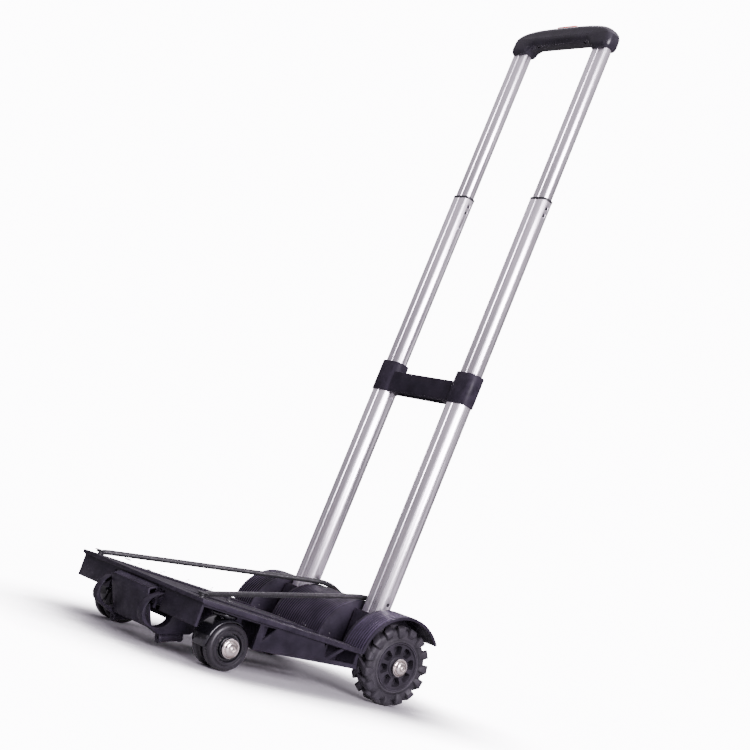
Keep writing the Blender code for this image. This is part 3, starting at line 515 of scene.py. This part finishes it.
def rear_tyre(side, tag):
    """Tractor tyre: a round carcass with two staggered rows of lugs that wrap on to the sidewalls."""
    low, high = local_box("rear_tyre_right", CART)
    near, far, top = low.x, high.x, high.z
    middle = (near + far) / 2
    base = top - LUG_HEIGHT
    half = [(far - 0.0014, BEAD_R), (far - 0.0004, BEAD_R + 0.0006), (far - 0.0004, BEAD_R + 0.0024)]
    half += [(far - 0.0022, BEAD_R + 0.0036), (far - 0.0034, BEAD_R + 0.0054)]
    half += arc(far - 0.0096, base - 0.0060, 0.0060, 0, 90, 8)
    whole = half + [(2 * middle - x, r) for x, r in half[::-1]]
    bm = bmesh.new()
    add_turned(bm, [(side * x, r) for x, r in whole], count=120)
    # each station: distance inside the face, crown radius, root radius, drift and half width in radians
    stations = (
        (far - middle + 0.0015, top, base - 0.003, -0.200, 0.082),
        (far - middle - 0.0070, top, base - 0.003, -0.085, 0.092),
        (0.0048, top - 0.0001, base - 0.003, 0.000, 0.106),
        (0.0016, top - 0.0014, base - 0.005, 0.008, 0.110),
        (0.0000, top - 0.0040, base - 0.007, 0.010, 0.106),
        (0.0000, top - 0.0088, base - 0.009, 0.010, 0.092),
        (0.0010, top - 0.0130, base - 0.011, 0.010, 0.070),
        (0.0030, top - 0.0158, base - 0.013, 0.010, 0.048),
    )
    for row in (0, 1):
        for k in range(LUGS):
            mid = 2 * pi * (k + 0.5 * row) / LUGS
            loops = []
            for inset, crown, root, drift, spread in stations[:len(stations) - 2 * (k % 2)]:
                x_top = far - inset if row else near + inset
                deeper = 0.0042 if inset < 0.005 else 0.0
                x_root = x_top - (deeper if row else -deeper)
                corners = ((x_root, root, -1.2), (x_top, crown, -1), (x_top, crown, 1), (x_root, root, 1.2))
                loop = []
                for x, r, turn in corners:
                    t = mid + drift + turn * spread
                    loop.append((side * x, r * cos(t), r * sin(t)))
                loops.append(loop)
            add_loops(bm, loops)
    obj = piece("rear_tyre_tread_" + tag, bm, CART, TYRE, "wheel_rear_" + tag, 0.0009, 28)
    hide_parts("rear_tyre_" + tag)


def rear_rim(side, tag):
    """Rim with a raised hub, a flat face and eight round-cornered windows sunk into it."""
    low, high = local_box("rear_rim_right", CART)
    near, far, edge = low.x, high.x, high.z
    angles = [2 * pi * k / 288 for k in range(288)]

    def depth(r, t):
        """How far the face lies inside the hub's level: a little on a spoke, deep in a window."""
        pitch = 2 * pi / WINDOWS
        off = (t % pitch) - pitch / 2
        mask = 1.16 - (abs(r - WINDOW_R) / WINDOW_HALF_HEIGHT) ** 4 - (abs(off) / WINDOW_HALF_ANGLE) ** 4
        fall = min(1.0, max(0.0, mask / 0.34))
        return 0.0022 + 0.0095 * fall * fall * (3 - 2 * fall)

    def ring(r, x_at):
        return [(side * x_at(t), r * cos(t), r * sin(t)) for t in angles]

    hub = [(far - 0.0004, AXLE_BORE_R), (far - 0.0004, 0.0122), (far - 0.0008, 0.0130)]
    back = [(far - 0.0006, 0.0291), (far - 0.0001, 0.0295), (far - 0.0001, edge), (near, edge)]
    back += [(near, edge - 0.003), (far - 0.0150, edge - 0.0036), (far - 0.0150, 0.0125)]
    back += [(near + 0.0004, 0.0105), (near + 0.0004, AXLE_BORE_R)]
    loops = [ring(r, lambda t: x) for x, r in hub]
    for k in range(44):
        r = 0.0136 + 0.00034 * k
        loops.append(ring(r, lambda t: far - depth(r, t)))
    loops += [ring(r, lambda t: x) for x, r in back]
    bm = bmesh.new()
    add_loops(bm, loops, closed=True)
    obj = piece("rear_rim_face_" + tag, bm, CART, RIM, "wheel_rear_" + tag, angle=42)
    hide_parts("rear_rim_" + tag)


def add_cap(bm, x, side, radius, height, at):
    """Pressed cap: rolled flange, groove, domed crown and a small central rivet head."""
    profile = [(0.0002, radius - 0.0008), (0.0000, radius - 0.0002), (0.0005, radius), (0.0011, radius)]
    profile += [(0.0016, radius - 0.0005), (0.0015, radius * 0.83), (0.0009, radius * 0.79)]
    crown = radius * 0.74
    for k in range(9):
        t = radians(90 * k / 8)
        wide = 0.36 * radius + (crown - 0.36 * radius) * cos(t)
        profile.append((0.0012 + (height - 0.0022) * sin(t), wide))
    profile += [(height - 0.0018, 0.31 * radius), (height - 0.0018, 0.25 * radius)]
    for k in range(5):
        t = radians(90 * k / 4)
        profile.append((height - 0.0014 + 0.0014 * sin(t), 0.04 * radius + 0.20 * radius * cos(t)))
    add_turned(bm, [(x + side * a, r) for a, r in profile], at, 56, closed=False)


def cap_nut(node_name, side, place, body):
    """Pressed cap in place of a plain cap nut node."""
    low, high = local_box(node_name, place)
    radius = (high.z - low.z) / 2
    at = ((high.y + low.y) / 2, (high.z + low.z) / 2)
    bm = bmesh.new()
    add_cap(bm, low.x if side > 0 else high.x, side, radius, high.x - low.x, at)
    obj = piece(node_name.replace("cap_nut", "cap"), bm, place, CHROME, body, angle=30)
    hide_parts(node_name)


def caster_wheel(where, tag):
    """Caster wheel in two parts: a crowned tread ring and a gloss hub with a deep face recess."""
    name = "caster_wheel_" + where + "_" + tag
    low, high = local_box(name, DECK)
    at = ((high.y + low.y) / 2, (high.z + low.z) / 2)
    middle = (low.x + high.x) / 2
    half = (high.x - low.x) / 2
    rim = (high.z - low.z) / 2
    face = [(half - 0.0010, 0.0171), (half - 0.0002, 0.0175), (half, 0.0183), (half - 0.0002, 0.0205)]
    face += [(half - 0.0009, 0.0212), (half - 0.0003, 0.0219)]
    face += arc(half - 0.0056, rim - 0.0055, 0.0055, 12, 90, 8)
    ring = face + [(-x, r) for x, r in face[::-1]]
    bm = bmesh.new()
    add_turned(bm, [(middle + x, r) for x, r in ring], at, 88)
    tread = piece("caster_tread_" + where + "_" + tag, bm, DECK, TREAD, name, angle=30)
    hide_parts(name)
    hub = [(half - 0.0011, 0.01705), (half - 0.0042, 0.0166), (half - 0.0042, 0.0136)]
    hub += [(half - 0.0006, 0.0127), (half - 0.0003, 0.0122), (half - 0.0003, 0.0040)]
    hub += [(-x, r) for x, r in hub[::-1]]
    bm = bmesh.new()
    add_turned(bm, [(middle + x, r) for x, r in hub], at, 72)
    piece("caster_hub_" + where + "_" + tag, bm, DECK, GLOSS, name, 0.0003, 30)


def caster_hood(tag):
    """Swivel fork: a plate between the wheels, a hood over their fronts and tops, and a round crown."""
    low, high = local_box("caster_fork_" + tag, DECK)
    wheel_low, wheel_high = local_box("caster_wheel_outer_" + tag, DECK)
    inner_high = local_box("caster_wheel_inner_" + tag, DECK)[1]
    hub = ((wheel_low.y + wheel_high.y) / 2, (wheel_low.z + wheel_high.z) / 2)
    rim = (wheel_high.z - wheel_low.z) / 2
    middle = (low.x + high.x) / 2
    reach = max(wheel_high.x, inner_high.x) - middle - 0.0030
    bm = bmesh.new()
    inner, outer = rim + 0.0012, rim + 0.0034
    loops = []
    steps = 26
    for k in range(steps + 1):
        t = radians(62 + 132 * k / steps)
        ends = min(k, steps - k) / 5
        wide = reach * (0.72 + 0.28 * min(1.0, ends) ** 0.5)
        section = [(-wide, inner), (-wide, outer - 0.0012), (0.0012 - wide, outer - 0.0002)]
        section += [(-0.5 * wide, outer), (0.5 * wide, outer)]
        section += [(wide - 0.0012, outer - 0.0002), (wide, outer - 0.0012), (wide, inner)]
        loops.append([(middle + x, hub[0] + r * cos(t), hub[1] + r * sin(t)) for x, r in section])
    add_loops(bm, loops)
    plate = 0.0030
    outline = []
    for k in range(15):
        t = radians(66 + 124 * k / 14)
        outline.append((hub[0] + (outer - 0.0006) * cos(t), hub[1] + (outer - 0.0006) * sin(t)))
    for k in range(10):
        t = radians(205 + 170 * k / 9)
        outline.append((hub[0] + 0.0105 * cos(t), hub[1] + 0.0105 * sin(t)))
    add_loops(bm, [[(middle + x, y, z) for y, z in outline] for x in (-plate, plate)])
    crown = ((0.0160, high.z), (0.0165, high.z - 0.0010), (0.0158, high.z - 0.0030),
             (0.0120, high.z - 0.0054))
    add_loops(bm, [[(x, y, z) for x, y in circle((middle, -CASTER_STEM_L), r, 40)] for r, z in crown])
    obj = piece("caster_hood_" + tag, bm, DECK, GLOSS, "caster_" + tag, 0.0006, 40)
    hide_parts("caster_fork_" + tag)


# Ribs, cords and small parts


def add_ribs(bm, low, high, at, radius, start, end, steps):
    """Skin of fine ribs round an axis along x: crests and hollows across, an arc along."""
    count = max(1, round((high - low) / RIB_PITCH))
    section = []
    for k in range(count):
        for share, rise in ((0.0, 0.0), (0.28, 1.0), (0.62, 1.0), (0.90, 0.0)):
            section.append((low + (high - low) * (k + share) / count, radius + RIB_HEIGHT * rise))
    section.append((high, radius))
    section += [(high, radius - 0.0004), (low, radius - 0.0004)]
    loops = []
    for k in range(steps + 1):
        t = radians(start + (end - start) * k / steps)
        loops.append([(x, at[0] + r * cos(t), at[1] + r * sin(t)) for x, r in section])
    add_loops(bm, loops)


def rib_skins():
    """Ribbed skins between the raised rims of the three arches and over the top of the front hood."""
    skin = ARCH_R - 0.0006
    for side, tag in SIDES:
        bm = bmesh.new()
        lo, hi = sorted((side * (FENDER_LOW.x + RIM_OF_ARCH), side * (FENDER_HIGH.x - RIM_OF_ARCH)))
        add_ribs(bm, lo, hi, (0, 0), skin, 41.0, 176.0, 60)
        piece("fender_ribs_" + tag, bm, DECK, FENDER, "deck", angle=50)
    bm = bmesh.new()
    add_ribs(bm, ARCH_LOW.x + RIM_OF_ARCH, ARCH_HIGH.x - RIM_OF_ARCH, (0, 0), skin, 41.0, 176.0, 60)
    piece("arch_ribs", bm, DECK, FENDER, "deck", angle=50)
    bm = bmesh.new()
    ends = (HOOD_LOW.x + 0.0010, HOOD_HIGH.x - 0.0010)
    add_ribs(bm, *ends, (HOOD_AT.y, HOOD_AT.z), HOOD_R, 108.0, 128.0, 12)
    piece("hood_ribs", bm, DECK, SHADED_RIBBED_HOOD, "deck", angle=50)


def spline(points, steps):
    """Uniform cubic curve that starts and ends on its first and last control points."""
    held = [points[0]] * 2 + list(points) + [points[-1]] * 2
    line = []
    for k in range(len(held) - 3):
        a, b, c, d = held[k:k + 4]
        for i in range(steps):
            u = i / steps
            line.append((a * (1 - u) ** 3 + b * (3 * u**3 - 6 * u**2 + 4)
                         + c * (-3 * u**3 + 3 * u**2 + 3 * u + 1) + d * u**3) / 6)
    line.append(points[-1].copy())
    return line


def cord_route(side):
    """Centreline of a cord, from its hole at the front of the deck to the back of the centre arch."""
    x0, l0 = 0.1300, 0.3000
    x1, l1 = 0.0500, 0.0020
    over = ARCH_R + 0.0006 + CORD_R + 0.0003
    route = [Vector((x0, -l0, -0.0060)), Vector((x0, -l0, 0.0085))]
    route.append(Vector((x0 - 0.0010, -l0 + 0.0040, 0.0118)))
    top = Vector((x1, -l1 - over * sin(0.20), over * cos(0.20)))
    route += [route[2].lerp(top, k / 19) for k in range(1, 19)]
    for k in range(8):
        t = pi / 2 + 0.20 - k * (0.20 + 0.98) / 7
        route.append(Vector((x1, over * cos(t), over * sin(t))))
    return [Vector((side * p.x, p.y, p.z)) for p in route]


def even(line, gap):
    """The same line with points a fixed distance apart."""
    out = [line[0]]
    left = gap
    for a, b in zip(line, line[1:]):
        span = (b - a).length
        done = 0.0
        while span - done >= left:
            done += left
            out.append(a.lerp(b, done / span))
            left = gap
        left -= span - done
    if (line[-1] - out[-1]).length > 0.3 * gap:
        out.append(line[-1].copy())
    return out


def braid(side, tag, gap):
    """Braided sleeve along a cord's route, with its line of points a fixed gap apart."""
    line = even(spline(cord_route(side), 14), gap)

    def yarn(k, t):
        along = 2 * pi * k * gap / YARN_PITCH
        return CORD_R * (0.985 + 0.022 * cos(YARN_TURNS * t + along) * cos(YARN_TURNS * t - along))

    bm = bmesh.new()
    add_swept(bm, line, yarn, 24)
    obj = piece("elastic_cord_braid_" + tag, bm, DECK, CORD, "deck", angle=80)
    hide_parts("elastic_cord_" + tag)
    return obj, line


def cord_hook(end, tag):
    """Ribbed crimp on a cord's end, and the wire hook that holds it under the centre arch."""
    over = Vector((0, end.y, end.z)).length
    inside = ARCH_R - 0.0058
    last = atan2(end.z, end.y)

    def around(r, t):
        return Vector((end.x, r * cos(t), r * sin(t)))

    bm = bmesh.new()
    crimp = [around(over, last + 0.20 * (1 - k / 8)) for k in range(9)]
    add_swept(bm, crimp, lambda k, t: CORD_R + (0.0002 if k in (0, 2, 8) else 0.0006), 20)
    wire = [around(over, last + a) for a in (0.03, 0.0, -0.02)]
    mid = (over + inside) / 2
    half = (over - inside) / 2
    for k in range(1, 9):
        turn = radians(180 * k / 8)
        wire.append(around(mid + half * cos(turn), last - 0.02 - 0.055 * sin(turn)))
    wire += [around(inside, last + a) for a in (0.05, 0.12, 0.17)]
    add_swept(bm, wire, lambda k, t: 0.0013, 12)
    return piece("cord_hook_" + tag, bm, DECK, GLOSS, "deck", 0.0002, 40)


def cord_grommet(at, tag):
    """Soft collar round a cord where it leaves the deck."""
    bore = CORD_R + 0.0002
    collar = ((0.0, -0.0022), (0.0012, -0.0022), (0.0012, 0.0), (0.0034, 0.0), (0.0036, 0.0006),
              (0.0028, 0.0013), (0.0016, 0.0016), (0.0004, 0.0012), (0.0, 0.0004))
    rows = []
    for wider, z in collar:
        rows.append([(x, y, DECK_LEVEL + z) for x, y in circle((at.x, at.y), bore + wider, 32)])
    bm = bmesh.new()
    add_loops(bm, rows, closed=True)
    piece("cord_grommet_" + tag, bm, DECK, SEAL, "deck", angle=40)


def cord(side, tag):
    """Elastic cord: its braid, the hook on its end and the grommet at its start."""
    obj, line = braid(side, tag, 0.0009)
    hook = cord_hook(line[-1], tag)
    cord_grommet(line[0], tag)


def add_head(bm, at, axis, plan, count):
    """Round head on a point along an axis, from rings of (height, radius at an angle)."""
    lift = Vector(axis).normalized()
    across = lift.orthogonal().normalized()
    along = lift.cross(across)
    loops = []
    for rise, radius_at in plan:
        loop = []
        for k in range(count):
            t = 2 * pi * k / count
            r = radius_at(t)
            loop.append(at + across * (r * cos(t)) + along * (r * sin(t)) + lift * rise)
        loops.append(loop)
    add_loops(bm, loops)


def add_screw(bm, at, axis, radius, height):
    """Pan-head screw with a cross recess."""
    def plain(share):
        return lambda t: radius * share

    def crossed(share):
        return lambda t: radius * share * (1 - 0.62 * (0.5 - 0.5 * cos(4 * t)) ** 0.6)

    rims = ((1.0, 0.0), (1.0, 0.35), (0.90, 0.75), (0.66, 0.98))
    plan = [(height * rise, plain(share)) for share, rise in rims]
    plan += [(height, crossed(0.56)), (height * 0.25, crossed(0.50)), (height * 0.20, plain(0.12))]
    add_head(bm, at, axis, plan, 32)


def add_dome(bm, at, axis, radius, height):
    """Low round stud."""
    def plain(share):
        return lambda t: radius * share

    rims = ((1.0, 0.0), (0.97, 0.35), (0.80, 0.72), (0.48, 0.94), (0.10, 1.0))
    add_head(bm, at, axis, [(height * rise, plain(share)) for share, rise in rims], 20)


def tube_parts():
    """Studs in the tube windows, rivets at the feet and screws on the back of the bridge."""
    tube_low, tube_high = local_box("tube_middle_right", CART)
    bridge_low, bridge_high = local_box("tube_bridge", CART)
    lower_face = local_box("tube_lower_right", CART)[1].x
    middle = (tube_low.x + tube_high.x) / 2
    mid_y = (tube_low.y + tube_high.y) / 2
    studs, rivets, screws = bmesh.new(), bmesh.new(), bmesh.new()
    for side in (-1, 1):
        face = side * middle + (tube_high.x - tube_low.x) / 2
        for level in (0.6385, 0.6285):
            add_dome(studs, Vector((face - 0.0012, mid_y, level)), (1, 0, 0), 0.0020, 0.0016)
        at = Vector((side * (lower_face - 0.0012), mid_y, 0.068))
        add_dome(rivets, at, (side, 0, 0), 0.0024, 0.0009)
        for z in (bridge_low.z + 0.009, bridge_high.z - 0.009):
            add_screw(screws, Vector((side * middle, bridge_high.y, z)), (0, 1, 0), 0.0026, 0.0012)
    piece("window_studs", studs, CART, SEAL, "stage_middle", angle=60)
    piece("foot_rivets", rivets, CART, SEAL, "cart", angle=60)
    piece("bridge_screws", screws, CART, STEEL, "cart", angle=40)


def grip_parts():
    """Small screws under the grip, two beside each upper tube."""
    tube_low, tube_high = local_box("tube_middle_right", CART)
    mid_y = (tube_low.y + tube_high.y) / 2
    level = local_box("grip_body", CART)[0].z + 0.0178
    bm = bmesh.new()
    for side in (-1, 1):
        for y in (mid_y - 0.0058, mid_y + 0.0058):
            add_screw(bm, Vector((side * 0.0480, y, level)), (0, 0, -1), 0.0018, 0.0012)
    piece("grip_screws", bm, CART, STEEL, "stage_upper", angle=40)


def deck_parts():
    """Anti-slip studs along the deck's slots, and screws over the casters and the front bar."""
    top = local_box("deck_tray", DECK)[1].z
    rows = (ARCH_HIGH.x - 0.0028, FENDER_LOW.x + 0.0026)
    heads = ((CASTER_STEM_X, CASTER_STEM_L, 0.0042, 0.0014), (0.1200, 0.2880, 0.0024, 0.0010))
    heads += ((0.0200, 0.2880, 0.0024, 0.0010),)
    studs, screws = bmesh.new(), bmesh.new()
    for side in (-1, 1):
        for x in rows:
            for k in range(5):
                at = Vector((side * x, -0.090 - 0.040 * k, top))
                add_dome(studs, at, (0, 0, 1), 0.0013, 0.0009)
        for x, ahead, radius, height in heads:
            add_screw(screws, Vector((side * x, -ahead, top)), (0, 0, 1), radius, height)
    piece("deck_studs", studs, DECK, GLOSS, "deck", angle=60)
    piece("deck_screws", screws, DECK, GLOSS, "deck", angle=40)


def build_pieces():
    """Makes every added piece."""
    for side, tag in SIDES:
        rear_tyre(side, tag)
        rear_rim(side, tag)
        cap_nut("rear_cap_nut_" + tag, side, CART, "cart")
        cap_nut("caster_cap_nut_" + tag, side, DECK, "caster_" + tag)
        caster_hood(tag)
        for where in ("inner", "outer"):
            caster_wheel(where, tag)
        cord(side, tag)
    rib_skins()
    tube_parts()
    grip_parts()
    deck_parts()


# Camera, light and floor


def link(obj):
    """Adds an object to the scene."""
    bpy.context.scene.collection.objects.link(obj)
    return obj


def map_range(tree, start, end, low, high):
    """Smooth step from low to high between two values."""
    return node(tree, "MapRange", interpolation_type="SMOOTHSTEP", in_1=start, in_2=end, in_3=low, in_4=high)


def studio():
    """Camera at the photograph's angle, and a backdrop that lights less than it shows.

    The room is dimmer near the horizon than overhead, for contrast in bright metal.
    """
    cam = link(bpy.data.objects.new("camera", bpy.data.cameras.new("camera")))
    cam.location = CAMERA_AT
    cam.rotation_euler = [radians(a) for a in CAMERA_TURN]
    cam.data.lens = LENS
    cam.data.sensor_width = 36.0
    cam.data.clip_start = 0.05
    bpy.context.scene.camera = cam
    world = bpy.data.worlds.new("studio")
    bpy.context.scene.world = world
    world.use_nodes = True
    tree = world.node_tree
    back = tree.nodes["Background"]
    back.inputs["Color"].default_value = (0.92, 0.85, 0.96, 1)
    where = node(tree, "TexCoord")
    split = node(tree, "SeparateXYZ")
    tree.links.new(where.outputs["Generated"], split.inputs[0])
    level = map_range(tree, 0.05, 0.60, 0.55 * ROOM_LIGHT, 1.50 * ROOM_LIGHT)
    tree.links.new(split.outputs[2], level.inputs[0])
    tree.links.new(level.outputs[0], back.inputs["Strength"])
    seen = node(tree, "Background")
    seen.inputs["Color"].default_value = PALE
    seen.inputs["Strength"].default_value = BACKDROP_GLOW
    path = node(tree, "LightPath")
    mix = node(tree, "MixShader")
    tree.links.new(path.outputs["Is Camera Ray"], mix.inputs[0])
    tree.links.new(back.outputs[0], mix.inputs[1])
    tree.links.new(seen.outputs[0], mix.inputs[2])
    tree.links.new(mix.outputs[0], tree.nodes["World Output"].inputs["Surface"])


def lamp(name, at, target, size, power, colour=(1, 1, 1)):
    """Rectangular soft light aimed at a point."""
    data = bpy.data.lights.new(name, "AREA")
    data.shape = "RECTANGLE"
    data.size, data.size_y = size
    data.energy = power
    data.color = colour
    obj = link(bpy.data.objects.new(name, data))
    obj.location = at
    aim = Vector(target) - Vector(at)
    obj.rotation_mode = "QUATERNION"
    obj.rotation_quaternion = aim.to_track_quat("-Z", "Y")
    return obj


def lights():
    """Soft lights round the cart, and a large card that only the drawn tubes see."""
    tint = (1.0, 0.925, 1.04)
    lamp("strip", (-0.6, -2.8, 1.1), (0, 0, 0.5), (0.24, 1.8), 7, tint)
    lamp("side", (2.5, -0.5, 1.1), (0, 0, 0.25), (1.2, 1.7), 190, tint)
    lamp("top", (0.2, 0.2, 2.6), (0, 0, 0.2), (2.2, 2.2), 20, tint)
    lamp("rim", (-1.7, 1.3, 2.4), (0, 0, 0.3), (1.2, 1.0), 22, tint)
    lamp("glint", (1.3, -1.5, 1.3), (0, -0.1, 0.05), (0.5, 0.07), 3)
    card = lamp("tube_card", (1.45, -2.0, 1.7), (0, 0, 0.6), (2.6, 2.0), 300, tint)
    tubes = bpy.data.collections.new("tubes")
    for stage in STAGES:
        for tag in ("left", "right"):
            tubes.objects.link(NODES["tube_" + stage + "_" + tag])
    card.light_linking.receiver_collection = tubes


def floor():
    """Round pale floor that fades into the backdrop, with a painted soft shadow under the cart where ambient
    occlusion dims its glow.
    """
    bm = bmesh.new()
    bmesh.ops.create_circle(bm, cap_ends=True, segments=96, radius=FLOOR_R)
    mesh = bpy.data.meshes.new("floor")
    bm.to_mesh(mesh)
    bm.free()
    obj = link(bpy.data.objects.new("floor", mesh))
    obj.location.z = -0.0004
    mat, tree, shader = tree_of("floor")
    shader.inputs["Base Color"].default_value = (0.40, 0.39, 0.41, 1)
    shader.inputs["Roughness"].default_value = 0.55
    where = node(tree, "TexCoord")
    length = node(tree, "VectorMath", operation="LENGTH")
    tree.links.new(where.outputs["Object"], length.inputs[0])
    fade = map_range(tree, 0.35, FLOOR_R - 0.1, 0.0, 1.0)
    tree.links.new(length.outputs["Value"], fade.inputs[0])
    clear = node(tree, "BsdfTransparent")
    glow = node(tree, "Emission")
    glow.inputs["Color"].default_value = PALE
    path = node(tree, "LightPath")
    level = node(tree, "Math", operation="MULTIPLY", in_1=FLOOR_GLOW)
    tree.links.new(path.outputs["Is Camera Ray"], level.inputs[0])
    # Painted contact shadow: ambient occlusion dims the floor's glow under the cart.
    shade = node(tree, "AmbientOcclusion", samples=16)
    shade.inputs["Distance"].default_value = SHADOW_REACH
    depth = node(tree, "Math", operation="POWER", in_1=SHADOW_DEPTH)
    tree.links.new(shade.outputs["AO"], depth.inputs[0])
    strength = node(tree, "Math", operation="MULTIPLY")
    tree.links.new(level.outputs[0], strength.inputs[0])
    tree.links.new(depth.outputs[0], strength.inputs[1])
    tree.links.new(strength.outputs[0], glow.inputs["Strength"])
    both = node(tree, "AddShader")
    tree.links.new(shader.outputs[0], both.inputs[0])
    tree.links.new(glow.outputs[0], both.inputs[1])
    mix = node(tree, "MixShader")
    tree.links.new(fade.outputs[0], mix.inputs[0])
    tree.links.new(both.outputs[0], mix.inputs[1])
    tree.links.new(clear.outputs[0], mix.inputs[2])
    tree.links.new(mix.outputs[0], tree.nodes["Material Output"].inputs["Surface"])
    obj.data.materials.append(mat)


studio()
dress_nodes()
build_pieces()
lights()
floor()
